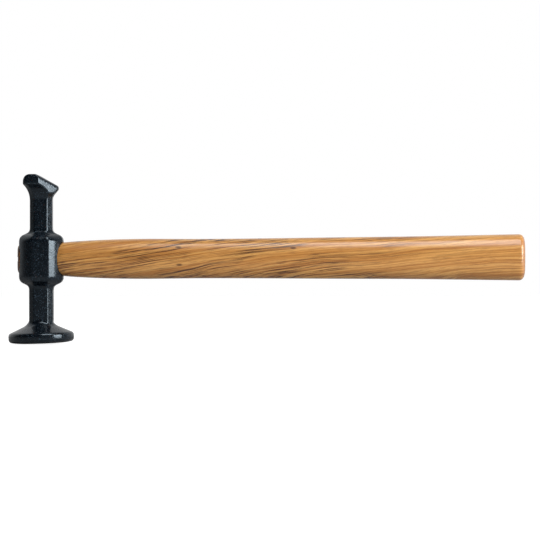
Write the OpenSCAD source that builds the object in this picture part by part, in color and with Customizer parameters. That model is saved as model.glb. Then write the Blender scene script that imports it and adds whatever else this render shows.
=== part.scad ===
// Body hammer: a one-piece forged head with a round face and a wide slanted peen,
// on a wooden handle that is kerfed in the eye and locked by a wooden and a steel wedge.
// The head stands along Z with the middle of its face at the origin; the handle runs along X.

/* [Face] */
// Diameter of the round face over its rim
face_d = 40.6; // [34:0.2:46]
// Diameter of the flat in the middle of the face
face_flat_d = 22; // [12:0.5:26]
// Radius of the crown between the flat and the rim
face_crown_r = 40; // [25:1:80]
// Lean of the face towards the handle, in degrees
face_rake = 2; // [0:0.25:4]
// Rounding of the rim at the face side
rim_low_r = 2.2; // [1:0.1:3]
// Height of the straight part of the rim
rim_h = 2; // [0.5:0.1:4]
// Rounding of the rim at the neck side
rim_top_r = 2; // [1:0.1:3]
// Slope of the cone behind the face, in degrees
cone_slope = 24; // [15:1:35]
// Radius of the hollow between the cone and the neck
cone_hollow_r = 7.5; // [4:0.5:10]

/* [Necks] */
// Width over flats of the neck below the eye
lower_neck_w = 14.7; // [11:0.1:18]
// Width over flats of the neck above the eye
upper_neck_w = 13.9; // [11:0.1:17]
// Leg of the bevel on each corner of a neck
neck_bevel = 3.1; // [1.5:0.1:4]

/* [Eye block] */
// Width of the block along the handle
block_w = 27.2; // [24:0.2:32]
// Thickness of the block across the handle
block_t = 25; // [22:0.2:30]
// Leg of the bevel on each corner of the block
block_bevel = 8.5; // [4:0.1:9]
// Height of the middle of the eye above the face
eye_z = 52.1; // [48:0.1:60]
// Height of the straight sides of the block
block_flat_h = 22.4; // [20:0.2:30]
// Rounding of the block's shoulders
shoulder_r = 4.2; // [2:0.1:5]
// Slope of the shoulders, in degrees
shoulder_slope = 25; // [10:1:40]
// Hollow where a shoulder runs into a neck
shoulder_hollow_r = 3; // [1:0.1:4]

/* [Peen] */
// Height of the peen's top above the face
head_h = 104.5; // [100:0.5:125]
// Depth of the peen's end faces below its top
peen_end_h = 6.2; // [4:0.1:9]
// Reach of the peen away from the handle, from the head's axis
peen_far = 10.6; // [9:0.1:14]
// Reach of the heel towards the handle, from the head's axis
heel_reach = 10.8; // [9:0.1:14]
// Width of the peen across the handle
peen_w = 26; // [20:0.2:32]
// Width of the heel across the handle
heel_w = 6; // [3:0.2:10]
// Where the peen begins to narrow to the heel, from the head's axis
peen_full_x = -0.9; // [-4:0.1:2]
// Where the flat top ends and the roof begins, from the head's axis
ridge_x = -2.4; // [-4:0.1:0]
// Slope of the roof down to the heel, in degrees
roof_slope = 29; // [15:0.5:35]
// Rounding of the peen's far edge
peen_r = 4.4; // [2:0.1:5]
// Rounding of the heel
heel_r = 1.8; // [0.6:0.1:2.5]
// Bevel along the edges between the roof and its two side walls
roof_bevel = 1.7; // [0.6:0.1:2.5]
// Bevel on the two far corners of the peen
peen_bevel = 1.8; // [0.6:0.1:3]
// Hollow under the peen on the side away from the handle
far_hollow_r = 14.5; // [8:0.5:20]
// Hollow under the peen's two ends
end_hollow_r = 10; // [6:0.5:12]
// Hollow under the heel
heel_hollow_r = 5; // [3:0.5:8]

/* [Eye] */
// Height of the eye at the handle side
eye_h = 21; // [18:0.1:23]
// Thickness of the eye at the handle side
eye_t = 16; // [13:0.1:18]
// Height of the eye at the far side
eye_far_h = 17.4; // [15:0.1:20]
// Thickness of the eye at the far side
eye_far_t = 9.6; // [9:0.1:12]
// How much narrower the eye is at its waist than at the far side
eye_relief = 0.4; // [0:0.1:1]
// Gap around the wood in the eye
eye_fit = 0.08; // [0.05:0.01:0.3]

/* [Handle] */
// Distance from the head's axis to the end of the handle
handle_l = 299.4; // [250:0.5:360]
// Height of the swell behind the head
swell_h = 24.8; // [22:0.1:28]
// Height of the waist ahead of the grip
waist_h = 24.4; // [21:0.1:28]
// Height of the grip at its middle
grip_h = 26.1; // [23:0.1:32]
// Height of the handle at its end
butt_h = 28.8; // [25:0.1:36]
// Thickness of the swell behind the head
swell_t = 18.6; // [16:0.1:22]
// Thickness of the waist ahead of the grip
waist_t = 18; // [15:0.1:22]
// Thickness of the grip at its middle
grip_t = 19.6; // [17:0.1:25]
// Thickness of the handle at its end
butt_t = 21.6; // [18:0.1:28]
// Rise of the handle's middle from the eye to its end
handle_rise = 1.2; // [0:0.1:4]
// Rounding of the end, measured inwards from its outline
butt_round_in = 4.6; // [2:0.1:6]
// Rounding of the end, measured along the handle
butt_round_l = 3.2; // [1.5:0.1:5]
// How far the domed wood stands out of the eye
tenon_proud = 1.1; // [0.4:0.1:3]

/* [Wedges] */
// Thickness of the wooden wedge at its driven end
wood_wedge_t = 3.4; // [2:0.1:5]
// Thickness of the wooden wedge at its tip
wood_wedge_tip = 0.9; // [0.5:0.1:1.5]
// Depth that the wooden wedge is driven
wood_wedge_l = 19; // [14:0.5:22]
// Width of the steel wedge across the handle
steel_wedge_w = 7; // [5:0.1:8]
// Thickness of the steel wedge at its driven end
steel_wedge_t = 2.6; // [1.5:0.1:4]
// How far the steel wedge's end lies below the domed wood
steel_wedge_sunk = 0.4; // [0.1:0.1:1]
// Thickness of the steel wedge at its tip
steel_wedge_tip = 0.6; // [0.4:0.1:1]
// Depth that the steel wedge is driven
steel_wedge_l = 12; // [8:0.5:13]
// Number of barbs along each edge of the steel wedge
barbs = 4; // [2:1:6]
// Depth of a barb
barb_d = 0.5; // [0.3:0.1:0.8]
// Gap around each wedge in its slot
wedge_fit = 0.05; // [0.03:0.01:0.2]

/* [Hidden] */
$fn = 96;

oval_power = 2.7;
oval_sides = 48;
arc_steps = 10;
over = 1;

// Points along an arc about [cx, cy], from angle a0 to angle a1.
function arc(cx, cy, r, a0, a1, n = arc_steps) =
    [for (i = [0 : n]) let (a = a0 + (a1 - a0) * i / n) [cx + r * cos(a), cy + r * sin(a)]];

// FACE AND CONE, turned about the face's own axis

face_r = face_d / 2;
flat_r = face_flat_d / 2;
crown_angle = asin((face_r - rim_low_r - flat_r) / (face_crown_r - rim_low_r));
rim_low_z = face_crown_r - (face_crown_r - rim_low_r) * cos(crown_angle);
rim_top_z = rim_low_z + rim_h;
cone_foot_r = face_r - rim_top_r + rim_top_r * sin(cone_slope);
cone_foot_z = rim_top_z + rim_top_r * cos(cone_slope);

// The hollow starts inside the neck, so that the leaning cone meets every flat of it.
cone_bite = 0.75;
hollow_in_r = lower_neck_w / 2 - cone_bite;
hollow_out_r = hollow_in_r + cone_hollow_r * (1 - sin(cone_slope));
hollow_z = cone_foot_z + (cone_foot_r - hollow_out_r) * tan(cone_slope) + cone_hollow_r * cos(cone_slope);

module face_and_cone() {
    rotate([0, -face_rake, 0])
        rotate_extrude()
            polygon(concat(
                [[0, 0]],
                arc(flat_r, face_crown_r, face_crown_r, -90, crown_angle - 90),
                arc(face_r - rim_low_r, rim_low_z, rim_low_r, crown_angle - 90, 0),
                arc(face_r - rim_top_r, rim_top_z, rim_top_r, 0, 90 - cone_slope),
                arc(hollow_in_r + cone_hollow_r, hollow_z, cone_hollow_r, 270 - cone_slope, 180),
                [[0, hollow_z]]
            ));
}

// FORGED SHANK: four outlines, one for each pair of opposite sides, cut one eight-sided bar

lower_neck = lower_neck_w / 2;
upper_neck = upper_neck_w / 2;
shank_foot_z = rim_top_z;
block_low_z = eye_z - block_flat_h / 2;
block_top_z = eye_z + block_flat_h / 2;
peen_end_z = head_h - peen_end_h;
heel_top_z = head_h - (heel_reach - ridge_x) * tan(roof_slope);
heel_z = heel_top_z - heel_r * tan(45 - roof_slope / 2);

// Distance from the axis to the bevel between a side at u and a side at v.
function bevel_out(u, v, leg) = (u + v - leg) / sqrt(2);

// Share of both shoulder radii that fits between a neck and the block.
shoulder_radii = shoulder_r + shoulder_hollow_r;
function fitting(neck, block) = min(1, (block - neck) / (shoulder_radii * (1 - sin(shoulder_slope))));

// Height of a shoulder, from the block's straight side to the neck's.
function shoulder_rise(neck, block) =
    let (radii = shoulder_radii * fitting(neck, block))
    radii * cos(shoulder_slope) + (block - neck - radii * (1 - sin(shoulder_slope))) * tan(shoulder_slope);

// Half of the outline past the eye block, upwards from the lower neck to the upper neck.
function past_block(low, block, up) =
    let (zl = block_low_z - shoulder_rise(low, block))
    let (zu = block_top_z + shoulder_rise(up, block))
    let (low_r = shoulder_r * fitting(low, block))
    let (up_r = shoulder_r * fitting(up, block))
    let (low_hollow = shoulder_hollow_r * fitting(low, block))
    let (up_hollow = shoulder_hollow_r * fitting(up, block))
    concat(
        [[low, shank_foot_z]],
        arc(low + low_hollow, zl, low_hollow, 180, 90 + shoulder_slope),
        arc(block - low_r, block_low_z, low_r, shoulder_slope - 90, 0),
        arc(block - up_r, block_top_z, up_r, 0, 90 - shoulder_slope),
        arc(up + up_hollow, zu, up_hollow, 270 - shoulder_slope, 180)
    );

// The hollow that opens from the upper neck to the peen, ending at [out, top].
function opening_angle(grow, r, a) = grow >= r * (1 - cos(a)) ? a : acos(1 - grow / r);
function hollow_under(neck, out, top, r, lean) =
    let (grow = out - neck)
    let (a = opening_angle(grow, r, lean))
    let (straight = (grow - r * (1 - cos(a))) / tan(a))
    concat(
        arc(neck + r, top - straight - r * sin(a), r, 180, 180 - a),
        [[out, top]]
    );

function mirrored(points) = [for (i = [len(points) - 1 : -1 : 0]) [-points[i][0], points[i][1]]];

// Leans of the hollows from the upright, in degrees.
far_lean = 40;
end_lean = 62;
heel_lean = 42;
heel_side_lean = 55;
heel_side_r = 4;
heel_side_drop = 1.2;
heel_under_x = heel_reach - heel_r * (1 - cos(heel_lean));
heel_under_z = heel_z - heel_r * sin(heel_lean);
heel_side_z = heel_under_z - heel_side_drop;

function front_half() = concat(
    past_block(lower_neck, block_t / 2, upper_neck),
    hollow_under(upper_neck, peen_w / 2, peen_end_z, end_hollow_r, end_lean),
    [[peen_w / 2, head_h + over]]
);

function handle_side_half() = concat(
    past_block(lower_neck, block_w / 2, upper_neck),
    hollow_under(upper_neck, heel_under_x, heel_under_z, heel_hollow_r, heel_lean),
    arc(heel_reach - heel_r, heel_z, heel_r, -heel_lean, 90 - roof_slope),
    [[ridge_x, head_h]]
);

function far_side_half() = concat(
    past_block(lower_neck, block_w / 2, upper_neck),
    hollow_under(upper_neck, peen_far, peen_end_z, far_hollow_r, far_lean),
    arc(peen_far - peen_r, head_h - peen_r, peen_r, 0, 90)
);

lower_bevel_out = bevel_out(lower_neck, lower_neck, neck_bevel);
upper_bevel_out = bevel_out(upper_neck, upper_neck, neck_bevel);
block_bevel_out = bevel_out(block_w / 2, block_t / 2, block_bevel);
far_corner_out = bevel_out(peen_far, peen_w / 2, peen_bevel);
near_corner_out = bevel_out(heel_reach, heel_w / 2, 0) + over;

function near_bevel_half() = concat(
    past_block(lower_bevel_out, block_bevel_out, upper_bevel_out),
    hollow_under(upper_bevel_out, near_corner_out, heel_side_z, heel_side_r, heel_side_lean),
    [[near_corner_out, head_h + over]]
);

function far_bevel_half() = concat(
    past_block(lower_bevel_out, block_bevel_out, upper_bevel_out),
    hollow_under(upper_bevel_out, far_corner_out, peen_end_z, end_hollow_r, end_lean),
    [[far_corner_out, head_h + over]]
);

// An upright outline, drawn across and up, made into a bar as deep as the head needs.
bar_depth = 2 * max(block_w, block_t, peen_w);

module outline_bar(points)
    rotate([90, 0, 0])
        linear_extrude(bar_depth, center = true)
            polygon(points);

module bevel_bar()
    rotate([0, 0, -45])
        outline_bar(concat(near_bevel_half(), mirrored(far_bevel_half())));

module forged_shank() {
    intersection() {
        outline_bar(concat(handle_side_half(), mirrored(far_side_half())));
        rotate([0, 0, 90])
            outline_bar(concat(front_half(), mirrored(front_half())));
        bevel_bar();
        mirror([0, 1, 0])
            bevel_bar();
    }
}

// PEEN SIDES: a wall on each side narrows the peen to the heel, with a bevel along the roof

wall_run = heel_reach - peen_full_x;
wall_in = (peen_w - heel_w) / 2;
wall_turn = atan(wall_in / wall_run);
wall_foot_z = peen_end_z - peen_w / 2;
wall_normal = [sin(wall_turn), -cos(wall_turn), 0];
roof_normal = [sin(roof_slope), 0, cos(roof_slope)];
edge_angle = acos(wall_normal * roof_normal);
bevel_sum = wall_normal + roof_normal;
bevel_depth = roof_bevel / (2 * tan(90 - edge_angle / 2));
bevel_tilt = acos(bevel_sum[2] / norm(bevel_sum));
bevel_turn = atan2(bevel_sum[1], bevel_sum[0]);
cutter = 2 * peen_w;

module side_wall_cut()
    translate([peen_full_x, -peen_w / 2, wall_foot_z])
        rotate([0, 0, wall_turn])
            translate([-cutter / 2, -cutter, 0])
                cube([2 * cutter, cutter, cutter]);

module roof_edge_cut()
    translate([peen_full_x, -peen_w / 2, head_h - (peen_full_x - ridge_x) * tan(roof_slope)])
        rotate([0, bevel_tilt, bevel_turn])
            translate([-cutter / 2, -cutter / 2, -bevel_depth])
                cube(cutter);

module peen_side_cuts() {
    side_wall_cut();
    roof_edge_cut();
}

// EYE: an oval hole that narrows from the handle side to a waist near the far side

// Points of an oval of height h and thickness t, with sides flatter than an ellipse.
function oval(h, t) = [for (i = [0 : oval_sides - 1])
    let (a = 360 * i / oval_sides)
    [sign(cos(a)) * t / 2 * pow(abs(cos(a)), 2 / oval_power),
     sign(sin(a)) * h / 2 * pow(abs(sin(a)), 2 / oval_power)]];

// A solid through ovals across X. Each ring is [x, z, height, thickness].
module through_ovals(rings) {
    last = len(rings) - 1;
    n = oval_sides;
    points = [for (r = rings) each [for (p = oval(r[2], r[3])) [r[0], p[0], r[1] + p[1]]]];
    sides = [for (j = [0 : last - 1]) each [for (i = [0 : n - 1])
        let (k = (i + 1) % n)
        each [[j * n + i, (j + 1) * n + k, j * n + k], [j * n + i, (j + 1) * n + i, (j + 1) * n + k]]]];
    start = [for (i = [0 : n - 1]) i];
    end = [for (i = [n - 1 : -1 : 0]) last * n + i];
    polyhedron(points, concat([start], sides, [end]));
}

eye_half_l = block_w / 2;
eye_waist_x = -eye_half_l / 3;
eye_stops = [-eye_half_l, eye_waist_x, eye_half_l];
eye_heights = [eye_far_h, eye_far_h - eye_relief, eye_h];
eye_thicknesses = [eye_far_t, eye_far_t - eye_relief, eye_t];

// The eye's ring at x, made smaller by less. Past its two mouths the eye runs straight.
function eye_size(x, sizes) = lookup(x, [for (i = [0 : 2]) [eye_stops[i], sizes[i]]]);
function eye_ring(x, less = 0) =
    [x, eye_z, eye_size(x, eye_heights) - less, eye_size(x, eye_thicknesses) - less];

module eye_hole()
    through_ovals([for (x = concat([-eye_half_l - over], eye_stops, [eye_half_l + over])) eye_ring(x)]);

module head() {
    color([0.13, 0.16, 0.19])
        difference() {
            union() {
                face_and_cone();
                difference() {
                    forged_shank();
                    peen_side_cuts();
                    mirror([0, 1, 0])
                        peen_side_cuts();
                }
            }
            eye_hole();
        }
}

// HANDLE: ovals from the domed tenon to the rounded end

// Shares of the handle's free length at which its heights and thicknesses are given.
swell_at = 0.16;
waist_at = 0.3;
grip_at = 0.68;

free_l = handle_l - eye_half_l;
stations = [
    [0, eye_h, eye_t],
    [swell_at, swell_h, swell_t],
    [waist_at, waist_h, waist_t],
    [grip_at, grip_h, grip_t],
    [1, butt_h, butt_t]
];

// A smooth value through the stations. Column k of a station holds the value.
function slope_at(k, i) =
    i == 0 ? 1.9 * (stations[1][k] - stations[0][k]) / (stations[1][0] - stations[0][0])
    : i == len(stations) - 1 ? (stations[i][k] - stations[i - 1][k]) / (stations[i][0] - stations[i - 1][0])
    : 0.5 * (stations[i + 1][k] - stations[i - 1][k]) / (stations[i + 1][0] - stations[i - 1][0]);
function station_before(s) = s < swell_at ? 0 : s < waist_at ? 1 : s < grip_at ? 2 : 3;
function smooth_value(k, s) =
    let (i = station_before(s))
    let (w = stations[i + 1][0] - stations[i][0])
    let (u = (s - stations[i][0]) / w)
    (2 * u * u * u - 3 * u * u + 1) * stations[i][k]
    + (u * u * u - 2 * u * u + u) * w * slope_at(k, i)
    + (3 * u * u - 2 * u * u * u) * stations[i + 1][k]
    + (u * u * u - u * u) * w * slope_at(k, i + 1);

function handle_z(x) = eye_z + handle_rise * (x - eye_half_l) / free_l;
function handle_ring(x, less) =
    let (s = (x - eye_half_l) / free_l)
    [x, handle_z(x), smooth_value(1, s) - less, smooth_value(2, s) - less];

tenon_dome_in = 3.2;
body_rings = 24;
round_steps = 7;
tenon_less = 2 * eye_fit;
tenon_end_x = -eye_half_l - tenon_proud;
round_start_x = handle_l - butt_round_l;

tenon_rings = concat(
    [for (i = [round_steps : -1 : 1]) let (a = 90 * i / round_steps)
        eye_ring(-eye_half_l - tenon_proud * sin(a), tenon_less + 2 * tenon_dome_in * (1 - cos(a)))],
    [for (x = eye_stops) eye_ring(x, tenon_less)]
);
handle_rings = concat(
    tenon_rings,
    [for (i = [1 : body_rings]) let (u = i / body_rings)
        handle_ring(eye_half_l + (round_start_x - eye_half_l) * (0.35 * u + 0.65 * u * u), 0)],
    [for (i = [1 : round_steps]) let (a = 90 * i / round_steps)
        handle_ring(round_start_x + butt_round_l * sin(a), 2 * butt_round_in * (1 - cos(a)))]
);

// WEDGES, both driven along X into the end of the tenon

// Outline of a wedge from x0 to its tip at l: t0 thick at x = 0, t1 at the tip, grown by gap.
module wedge_outline(l, t0, t1, gap, x0) {
    driven = t0 / 2 + gap - x0 * (t0 - t1) / (2 * l);
    tip = t1 / 2 + gap;
    polygon([[x0, driven], [l + gap, tip], [l + gap, -tip], [x0, -driven]]);
}

// The wooden wedge stands upright across the whole height of the eye. It is trimmed with the tenon.
module wooden_wedge_bar(gap)
    translate([tenon_end_x, 0, eye_z - eye_h])
        linear_extrude(2 * eye_h)
            wedge_outline(wood_wedge_l, wood_wedge_t, wood_wedge_tip, gap, -over);

// The steel wedge lies across it, level with the middle of the eye.
steel_end_x = tenon_end_x + steel_wedge_sunk;

module steel_wedge_bar(gap, x0)
    translate([steel_end_x, 0, eye_z])
        rotate([90, 0, 0])
            linear_extrude(steel_wedge_w + 2 * gap, center = true)
                wedge_outline(steel_wedge_l, steel_wedge_t, steel_wedge_tip, gap, x0);

// Plan of the steel wedge, with barbs that point back at its driven end.
barb_pitch = steel_wedge_l / (barbs + 1);

module barbed_plan() {
    half = steel_wedge_w / 2;
    edge = [for (i = [0 : barbs - 1]) each [
        [barb_pitch * (i + 0.5), half],
        [barb_pitch * (i + 0.5), half - barb_d],
        [barb_pitch * (i + 1.4), half]
    ]];
    right = concat([[-over, half]], edge, [[steel_wedge_l + over, half]]);
    translate([steel_end_x, 0, eye_z - steel_wedge_t])
        linear_extrude(2 * steel_wedge_t)
            polygon(concat(right, [for (i = [len(right) - 1 : -1 : 0]) [right[i][0], -right[i][1]]]));
}

module steel_wedge() {
    color([0.55, 0.56, 0.58])
        intersection() {
            steel_wedge_bar(0, 0);
            barbed_plan();
        }
}

module wooden_wedge() {
    color([0.80, 0.62, 0.38])
        difference() {
            intersection() {
                wooden_wedge_bar(0);
                through_ovals(tenon_rings);
            }
            steel_wedge_bar(wedge_fit, -over);
        }
}

module handle() {
    color([0.72, 0.50, 0.27])
        difference() {
            through_ovals(handle_rings);
            wooden_wedge_bar(wedge_fit);
            steel_wedge_bar(wedge_fit, -over);
        }
}

head();
handle();
wooden_wedge();
steel_wedge();
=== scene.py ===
import math

import bpy
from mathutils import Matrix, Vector


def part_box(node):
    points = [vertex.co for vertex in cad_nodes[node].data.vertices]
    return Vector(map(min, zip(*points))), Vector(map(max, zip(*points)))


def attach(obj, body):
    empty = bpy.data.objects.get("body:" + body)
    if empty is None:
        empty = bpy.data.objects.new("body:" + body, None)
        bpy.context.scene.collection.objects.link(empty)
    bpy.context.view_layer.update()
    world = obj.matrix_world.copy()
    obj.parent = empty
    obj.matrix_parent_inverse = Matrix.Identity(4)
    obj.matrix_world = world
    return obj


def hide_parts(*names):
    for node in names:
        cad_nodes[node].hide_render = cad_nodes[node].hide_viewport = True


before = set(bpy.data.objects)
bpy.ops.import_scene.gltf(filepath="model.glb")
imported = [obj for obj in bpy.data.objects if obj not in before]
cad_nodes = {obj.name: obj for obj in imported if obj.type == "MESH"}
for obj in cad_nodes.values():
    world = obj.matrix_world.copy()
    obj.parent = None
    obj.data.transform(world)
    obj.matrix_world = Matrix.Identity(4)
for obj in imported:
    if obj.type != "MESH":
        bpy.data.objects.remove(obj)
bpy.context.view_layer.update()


# HEAD: one drop-forged steel piece with a crowned face, a cone, eight-sided necks, an eye block
# and a slanted peen. The dies leave every edge softly rounded. It is sprayed with blue-black
# enamel, which dries with a fine raised speckle.

MM = 0.001
forging_grid = 0.4 * MM
forging_passes = 10
smoothing_share = 0.5
block_low = 40.9 * MM
block_top = 63.3 * MM
block_half_w = 13.6 * MM
block_half_t = 12.5 * MM
block_bevel = 8.5 * MM
bevel_crown = 0.8 * MM
crown_depth = 3 * MM
crown_fade = 3 * MM
paint_black = (0.0022, 0.0040, 0.0065, 1)
paint_grey_fleck = (0.045, 0.070, 0.095, 1)
paint_red_fleck = (0.060, 0.026, 0.020, 1)
paint_shine_tint = (0.74, 0.89, 1, 1)
paint_shine = 0.5
paint_relief = 0.06 * MM
orange_peel_share = 1.2


def softened_copy(name, node, grid, passes):
    """A CAD node's shape as an even mesh, with its edges rounded by a few smoothing passes."""
    piece = bpy.data.objects.new(name, cad_nodes[node].data.copy())
    bpy.context.scene.collection.objects.link(piece)
    even = piece.modifiers.new("even_mesh", "REMESH")
    even.mode = "VOXEL"
    even.voxel_size = grid
    rounding = piece.modifiers.new("soft_edges", "SMOOTH")
    rounding.factor = smoothing_share
    rounding.iterations = passes
    seen = piece.evaluated_get(bpy.context.evaluated_depsgraph_get())
    mesh = bpy.data.meshes.new_from_object(seen)
    piece.modifiers.clear()
    piece.data = mesh
    mesh.name = name
    mesh.materials.clear()
    mesh.shade_smooth()
    return piece


def feed(tree, socket, value):
    """Joins a socket to another node's output, or sets it to a plain value."""
    if isinstance(value, bpy.types.NodeSocket):
        tree.links.new(value, socket)
    else:
        socket.default_value = value


def place(tree):
    """Where a point of the surface is, in metres in the hammer's own frame."""
    return tree.nodes.new("ShaderNodeTexCoord").outputs["Object"]


def stretched(tree, where, along, across, up):
    """The place, scaled by its own number of grains a metre in each direction."""
    node = tree.nodes.new("ShaderNodeMapping")
    feed(tree, node.inputs["Vector"], where)
    feed(tree, node.inputs["Scale"], (along, across, up))
    return node.outputs["Vector"]


def noise(tree, where, grains, detail, rough):
    """Soft random values from 0 to 1, with that many grains a metre."""
    node = tree.nodes.new("ShaderNodeTexNoise")
    feed(tree, node.inputs["Vector"], where)
    feed(tree, node.inputs["Scale"], grains)
    feed(tree, node.inputs["Detail"], detail)
    feed(tree, node.inputs["Roughness"], rough)
    return node.outputs[0]


def between(tree, value, start, end, low=0.0, high=1.0):
    """A value that goes smoothly from low to high while another goes from start to end."""
    node = tree.nodes.new("ShaderNodeMapRange")
    node.interpolation_type = "SMOOTHSTEP"
    feed(tree, node.inputs["Value"], value)
    feed(tree, node.inputs["From Min"], start)
    feed(tree, node.inputs["From Max"], end)
    feed(tree, node.inputs["To Min"], low)
    feed(tree, node.inputs["To Max"], high)
    return node.outputs["Result"]


def worked(tree, operation, first, second):
    """The result of simple arithmetic on two values."""
    node = tree.nodes.new("ShaderNodeMath")
    node.operation = operation
    feed(tree, node.inputs[0], first)
    feed(tree, node.inputs[1], second)
    return node.outputs[0]


def blended(tree, share, first, second):
    """One colour going over into another."""
    node = tree.nodes.new("ShaderNodeMix")
    node.data_type = "RGBA"
    colour_a, colour_b = [socket for socket in node.inputs if socket.type == "RGBA"]
    feed(tree, node.inputs["Factor"], share)
    feed(tree, colour_a, first)
    feed(tree, colour_b, second)
    return [socket for socket in node.outputs if socket.type == "RGBA"][0]


def raised(tree, height, strength, distance):
    """A surface normal from a height."""
    node = tree.nodes.new("ShaderNodeBump")
    feed(tree, node.inputs["Strength"], strength)
    feed(tree, node.inputs["Distance"], distance)
    feed(tree, node.inputs["Height"], height)
    return node.outputs["Normal"]


def finish(name):
    """A new material: its node tree and its one surface shader."""
    material = bpy.data.materials.new(name)
    material.use_nodes = True
    return material, material.node_tree, material.node_tree.nodes["Principled BSDF"]


def dress(piece, material):
    """Puts a material on a piece."""
    piece.data.materials.clear()
    piece.data.materials.append(material)


def crown_block_bevels(piece):
    """Swells the four bevels of the eye block a little, as the dies leave them."""
    bevel_out = (block_half_w + block_half_t - block_bevel) / math.sqrt(2)
    bevel_middle = (block_half_w - block_half_t) / math.sqrt(2)
    bevel_half = block_bevel / math.sqrt(2)
    for vertex in piece.data.vertices:
        out = (abs(vertex.co.x) + abs(vertex.co.y)) / math.sqrt(2)
        across = (abs(vertex.co.x) - abs(vertex.co.y)) / math.sqrt(2) - bevel_middle
        past_block = max(block_low - vertex.co.z, vertex.co.z - block_top, 0)
        share = max(0, 1 - (across / bevel_half) ** 2) * max(0, 1 - past_block / crown_fade)
        share = share * min(1, max(0, 1 - (bevel_out - out) / crown_depth))
        step = bevel_crown * share / math.sqrt(2)
        vertex.co.x += math.copysign(step, vertex.co.x)
        vertex.co.y += math.copysign(step, vertex.co.y)


head = softened_copy("forged_head", "head", forging_grid, forging_passes)
crown_block_bevels(head)
enamel, tree, surface = finish("speckled_enamel")
spot = place(tree)
speckle = noise(tree, spot, grains=1500, detail=2, rough=0.55)
mottle = noise(tree, spot, grains=260, detail=3, rough=0.6)
fleck = noise(tree, spot, grains=1700, detail=1, rough=0.5)
rare = noise(tree, spot, grains=1100, detail=1, rough=0.5)
orange_peel = noise(tree, spot, grains=620, detail=2, rough=0.5)
grey_share = between(tree, fleck, start=0.6, end=0.73)
red_share = between(tree, rare, start=0.7, end=0.78)
body_colour = blended(tree, grey_share, paint_black, paint_grey_fleck)
enamel_colour = blended(tree, red_share, body_colour, paint_red_fleck)
feed(tree, surface.inputs["Base Color"], enamel_colour)
grain_dullness = between(tree, speckle, start=0.35, end=0.7, low=0, high=0.1)
patch_dullness = between(tree, mottle, start=0.3, end=0.7, low=0.12, high=0.21)
feed(tree, surface.inputs["Roughness"], worked(tree, "ADD", grain_dullness, patch_dullness))
grit = worked(tree, "ADD", speckle, worked(tree, "MULTIPLY", orange_peel, orange_peel_share))
feed(tree, surface.inputs["Normal"], raised(tree, grit, strength=0.5, distance=paint_relief))
surface.inputs["Specular IOR Level"].default_value = paint_shine
surface.inputs["Specular Tint"].default_value = paint_shine_tint
dress(head, enamel)
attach(head, "root")
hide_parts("head")


# HANDLE: one shaped and sanded piece of hardwood, oval all along and thickest at its rounded end.
# Dark streaks and a few small knots show under a clear gloss lacquer. It is pressed through the
# eye, and the end that stands out of the eye is domed.

handle_grid = 0.7 * MM
handle_passes = 4
wood_gold = (0.455, 0.185, 0.037, 1)
wood_pale = (0.670, 0.345, 0.098, 1)
wood_brown = (0.165, 0.054, 0.013, 1)
streak_brown = (0.070, 0.024, 0.008, 1)
end_brown = (0.130, 0.055, 0.030, 1)
butt_pink = (0.450, 0.215, 0.115, 1)
butt_edge = 2.8 * MM
butt_flat = 0.6 * MM
butt_pink_share = 0.55
tenon_out = 1.1 * MM
tenon_brown_to = 0.2 * MM
tenon_clear_from = 1.2 * MM
grain_climb = 0.17
grain_sway = 12 * MM
streaky_to = 0.16
few_streaks_from = 0.27
few_streaks = 0.25
pore_share = 0.55
knot_spots = ((0.0857, 0.0486), (0.0850, 0.0595), (0.1560, 0.0590))
knot_half_l = 2.6 * MM
knot_half_h = 1.0 * MM
knot_raggedness = 0.7
knot_darkness = 0.85
wood_relief = 0.08 * MM
lacquer_share = 0.55
lacquer_dullness = 0.2


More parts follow.
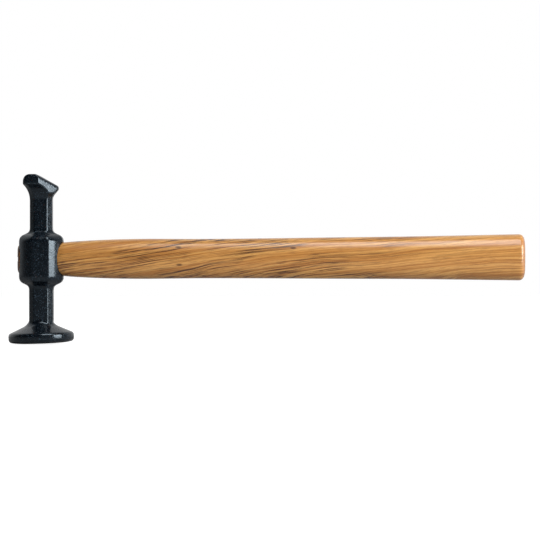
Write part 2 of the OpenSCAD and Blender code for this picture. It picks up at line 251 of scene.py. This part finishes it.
def wood_figure():
    """Bands, dark streaks and pores of wood whose grain runs along X, as a group for any wood."""
    group = bpy.data.node_groups.new("wood_figure", "ShaderNodeTree")
    group.interface.new_socket("Where", in_out="INPUT", socket_type="NodeSocketVector")
    group.interface.new_socket("Climb", in_out="INPUT", socket_type="NodeSocketFloat")
    for name in ("Bands", "Streaks", "Pores", "Height"):
        group.interface.new_socket(name, in_out="OUTPUT", socket_type="NodeSocketFloat")
    inward = group.nodes.new("NodeGroupInput")
    outward = group.nodes.new("NodeGroupOutput")
    where = inward.outputs["Where"]
    parts = group.nodes.new("ShaderNodeSeparateXYZ")
    feed(group, parts.inputs[0], where)

    # The grain climbs along the handle, less and less, and sways a little on its way.
    slow = stretched(group, where, along=9, across=30, up=30)
    sway = worked(group, "MULTIPLY", noise(group, slow, grains=1, detail=2, rough=0.5), grain_sway)
    straighter = worked(group, "SUBTRACT", 1.0, parts.outputs["X"])
    slope = worked(group, "MULTIPLY", inward.outputs["Climb"], straighter)
    climb = worked(group, "MULTIPLY", parts.outputs["X"], slope)
    level = worked(group, "SUBTRACT", worked(group, "ADD", parts.outputs["Z"], sway), climb)
    grain = group.nodes.new("ShaderNodeCombineXYZ")
    feed(group, grain.inputs["X"], parts.outputs["X"])
    feed(group, grain.inputs["Y"], parts.outputs["Y"])
    feed(group, grain.inputs["Z"], level)
    along_grain = grain.outputs[0]

    band_place = stretched(group, along_grain, along=9, across=150, up=850)
    line_place = stretched(group, along_grain, along=26, across=320, up=2100)
    break_place = stretched(group, along_grain, along=22, across=60, up=120)
    pore_place = stretched(group, along_grain, along=170, across=1500, up=3600)
    bands = noise(group, band_place, grains=1, detail=4, rough=0.65)
    lines = noise(group, line_place, grains=1, detail=3, rough=0.55)
    breaks = noise(group, break_place, grains=1, detail=2, rough=0.5)
    pores = noise(group, pore_place, grains=1, detail=2, rough=0.6)
    dark_lines = between(group, lines, start=0.52, end=0.59)
    unbroken = between(group, breaks, start=0.4, end=0.5)
    feed(group, outward.inputs["Bands"], between(group, bands, start=0.4, end=0.62))
    feed(group, outward.inputs["Streaks"], worked(group, "MULTIPLY", dark_lines, unbroken))
    feed(group, outward.inputs["Pores"], between(group, pores, start=0.5, end=0.72))
    feed(group, outward.inputs["Height"], pores)
    return group


figure_group = wood_figure()


def wood(tree, climb):
    """The wood's figure, placed in one material's tree."""
    node = tree.nodes.new("ShaderNodeGroup")
    node.node_tree = figure_group
    feed(tree, node.inputs["Where"], place(tree))
    feed(tree, node.inputs["Climb"], climb)
    return node.outputs


def off_by(tree, measure, middle, half_size):
    """How far a place is from a middle, squared, as a share of half of a size."""
    gap = worked(tree, "SUBTRACT", measure, middle)
    return worked(tree, "POWER", worked(tree, "DIVIDE", gap, half_size), 2)


handle = softened_copy("hardwood_handle", "handle", handle_grid, handle_passes)
eye_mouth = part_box("handle")[0].x + tenon_out
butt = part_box("handle")[1].x
lacquered, tree, surface = finish("lacquered_hardwood")
figure = wood(tree, grain_climb)
parts = tree.nodes.new("ShaderNodeSeparateXYZ")
feed(tree, parts.inputs[0], place(tree))
along = parts.outputs["X"]
up = parts.outputs["Z"]
toward_head = between(tree, along, streaky_to, few_streaks_from, low=1, high=few_streaks)
ground_wood = blended(tree, figure["Bands"], wood_gold, wood_pale)
pored_share = worked(tree, "MULTIPLY", figure["Pores"], pore_share)
figured = blended(tree, pored_share, ground_wood, wood_brown)
streak_share = worked(tree, "MULTIPLY", figure["Streaks"], toward_head)
wood_colour = blended(tree, streak_share, figured, streak_brown)
for knot_x, knot_z in knot_spots:
    off_x = off_by(tree, along, knot_x, knot_half_l)
    off_z = off_by(tree, up, knot_z, knot_half_h)
    raggedness = worked(tree, "MULTIPLY", figure["Height"], knot_raggedness)
    from_knot = worked(tree, "ADD", worked(tree, "ADD", off_x, off_z), raggedness)
    knot_share = between(tree, from_knot, start=0.4, end=1.3, low=knot_darkness, high=0)
    wood_colour = blended(tree, knot_share, wood_colour, streak_brown)
butt_end = between(tree, along, butt - butt_edge, butt - butt_flat, low=0, high=butt_pink_share)
tenon_end = between(tree, along, eye_mouth - tenon_brown_to, eye_mouth + tenon_clear_from, low=1, high=0)
wood_colour = blended(tree, butt_end, wood_colour, butt_pink)
wood_colour = blended(tree, tenon_end, wood_colour, end_brown)
feed(tree, surface.inputs["Base Color"], wood_colour)
feed(tree, surface.inputs["Roughness"], between(tree, figure["Pores"], 0, 1, low=0.36, high=0.5))
feed(tree, surface.inputs["Normal"], raised(tree, figure["Height"], strength=0.12, distance=wood_relief))
surface.inputs["Coat Weight"].default_value = lacquer_share
surface.inputs["Coat Roughness"].default_value = lacquer_dullness
dress(handle, lacquered)
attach(handle, "root")
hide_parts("handle")


# WOODEN WEDGE: a thin hardwood wedge, glued and hammered upright into the kerf of the handle.
# It is trimmed flush with the domed end and sealed by the same lacquer.

wedge_pale = (0.640, 0.430, 0.220, 1)
wedge_brown = (0.330, 0.190, 0.085, 1)
wedge_relief = 0.1 * MM
wedge_lacquer_share = 0.3

wooden_wedge = cad_nodes["wooden_wedge"]
sealed_wood, tree, surface = finish("sealed_wedge_wood")
figure = wood(tree, climb=0.0)
end_grain = noise(tree, place(tree), grains=3000, detail=2, rough=0.6)
pored_share = between(tree, end_grain, start=0.5, end=0.75, low=0, high=0.6)
bare = blended(tree, figure["Bands"], wedge_pale, wedge_brown)
feed(tree, surface.inputs["Base Color"], blended(tree, pored_share, bare, wedge_brown))
grain_dullness = between(tree, end_grain, start=0.3, end=0.7, low=0.4, high=0.62)
feed(tree, surface.inputs["Roughness"], grain_dullness)
feed(tree, surface.inputs["Normal"], raised(tree, end_grain, strength=0.3, distance=wedge_relief))
surface.inputs["Coat Weight"].default_value = wedge_lacquer_share
dress(wooden_wedge, sealed_wood)


# STEEL WEDGE: a small pressed steel wedge with barbed edges, driven level across the wooden one
# to lock both. Its driven end is bare, a little dull and scuffed by the hammer.

steel_grey = (0.42, 0.43, 0.45, 1)
steel_dull = (0.20, 0.18, 0.165, 1)
scuff_relief = 0.06 * MM

steel_wedge = cad_nodes["steel_wedge"]
bare_steel, tree, surface = finish("dull_pressed_steel")
scuff_place = stretched(tree, place(tree), along=700, across=2600, up=700)
scuff = noise(tree, scuff_place, grains=1, detail=3, rough=0.6)
tarnish = noise(tree, place(tree), grains=600, detail=3, rough=0.6)
dull_share = between(tree, tarnish, start=0.45, end=0.7)
feed(tree, surface.inputs["Base Color"], blended(tree, dull_share, steel_grey, steel_dull))
scuff_dullness = between(tree, scuff, start=0.3, end=0.7, low=0.28, high=0.52)
feed(tree, surface.inputs["Roughness"], scuff_dullness)
feed(tree, surface.inputs["Normal"], raised(tree, scuff, strength=0.25, distance=scuff_relief))
surface.inputs["Metallic"].default_value = 1.0
dress(steel_wedge, bare_steel)


# FLOOR AND BACKDROP: the hammer stands on its face on a plain floor, in a room that is white
# behind it and dark on the camera's side. Both look white to the camera, and the floor keeps
# a faint shadow.

floor_size = 6.0
floor_middle_x = 0.15
floor_clear = 0.1 * MM
floor_pale = (0.42, 0.42, 0.42, 1)
floor_dullness = 0.9
floor_glow = 0.86
room_dark = (0.02, 0.022, 0.025, 1)
room_white = (1, 1, 1, 1)
room_dark_to = -0.1
room_white_from = 0.55
room_strength = 0.7

lowest = min(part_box(node)[0].z for node in cad_nodes)
floor_at = (floor_middle_x, 0, lowest - floor_clear)
bpy.ops.mesh.primitive_plane_add(size=floor_size, location=floor_at)
floor = bpy.context.object
floor.name = "floor"
floor_paint, tree, surface = finish("white_floor")
surface.inputs["Base Color"].default_value = floor_pale
surface.inputs["Roughness"].default_value = floor_dullness
glow = tree.nodes.new("ShaderNodeEmission")
ray = tree.nodes.new("ShaderNodeLightPath")
feed(tree, glow.inputs["Strength"], worked(tree, "MULTIPLY", ray.outputs["Is Camera Ray"], floor_glow))
seen_floor = tree.nodes.new("ShaderNodeAddShader")
feed(tree, seen_floor.inputs[0], surface.outputs[0])
feed(tree, seen_floor.inputs[1], glow.outputs[0])
feed(tree, tree.nodes["Material Output"].inputs["Surface"], seen_floor.outputs[0])
floor.data.materials.append(floor_paint)

world = bpy.data.worlds.new("white_room")
bpy.context.scene.world = world
world.use_nodes = True
tree = world.node_tree
direction = tree.nodes.new("ShaderNodeSeparateXYZ")
feed(tree, direction.inputs[0], tree.nodes.new("ShaderNodeTexCoord").outputs["Generated"])
ahead = between(tree, direction.outputs["Y"], room_dark_to, room_white_from)
lit_room = tree.nodes["Background"]
feed(tree, lit_room.inputs["Color"], blended(tree, ahead, room_dark, room_white))
lit_room.inputs["Strength"].default_value = room_strength
white = tree.nodes.new("ShaderNodeBackground")
white.inputs["Color"].default_value = room_white
ray = tree.nodes.new("ShaderNodeLightPath")
room = tree.nodes.new("ShaderNodeMixShader")
feed(tree, room.inputs[0], ray.outputs["Is Camera Ray"])
feed(tree, room.inputs[1], lit_room.outputs[0])
feed(tree, room.inputs[2], white.outputs[0])
feed(tree, tree.nodes["World Output"].inputs["Surface"], room.outputs[0])


# LIGHT AND CAMERA: a soft box at the right front lights the bevels that face it, and another
# overhead draws the band of gloss along the handle. The lens is long and level with the eye.

middle = Vector((0.1417, 0, 0.0454))
view_width = 0.3348
camera_away = 1.612
sensor_width = 36.0


def soft_box(name, at, width, height, watts):
    """An even rectangular lamp that faces the middle of the hammer."""
    light = bpy.data.lights.new(name, "AREA")
    light.shape = "RECTANGLE"
    light.size = width
    light.size_y = height
    light.energy = watts
    lamp = bpy.data.objects.new(name, light)
    lamp.location = at
    lamp.rotation_euler = (middle - Vector(at)).to_track_quat("-Z", "Y").to_euler()
    bpy.context.scene.collection.objects.link(lamp)


soft_box("right_front_box", at=(1.42, -0.66, 0.20), width=0.7, height=0.9, watts=27)
soft_box("overhead_box", at=(0.45, -0.75, 1.05), width=0.8, height=0.8, watts=13)

camera_data = bpy.data.cameras.new("long_lens")
camera_data.sensor_width = sensor_width
camera_data.lens = sensor_width * camera_away / view_width
camera = bpy.data.objects.new("long_lens", camera_data)
camera.location = (middle.x, -camera_away, middle.z)
camera.rotation_euler = (math.radians(90), 0, 0)
bpy.context.scene.collection.objects.link(camera)
bpy.context.scene.camera = camera
bpy.context.scene.view_settings.view_transform = "Standard"

bpy.context.view_layer.update()
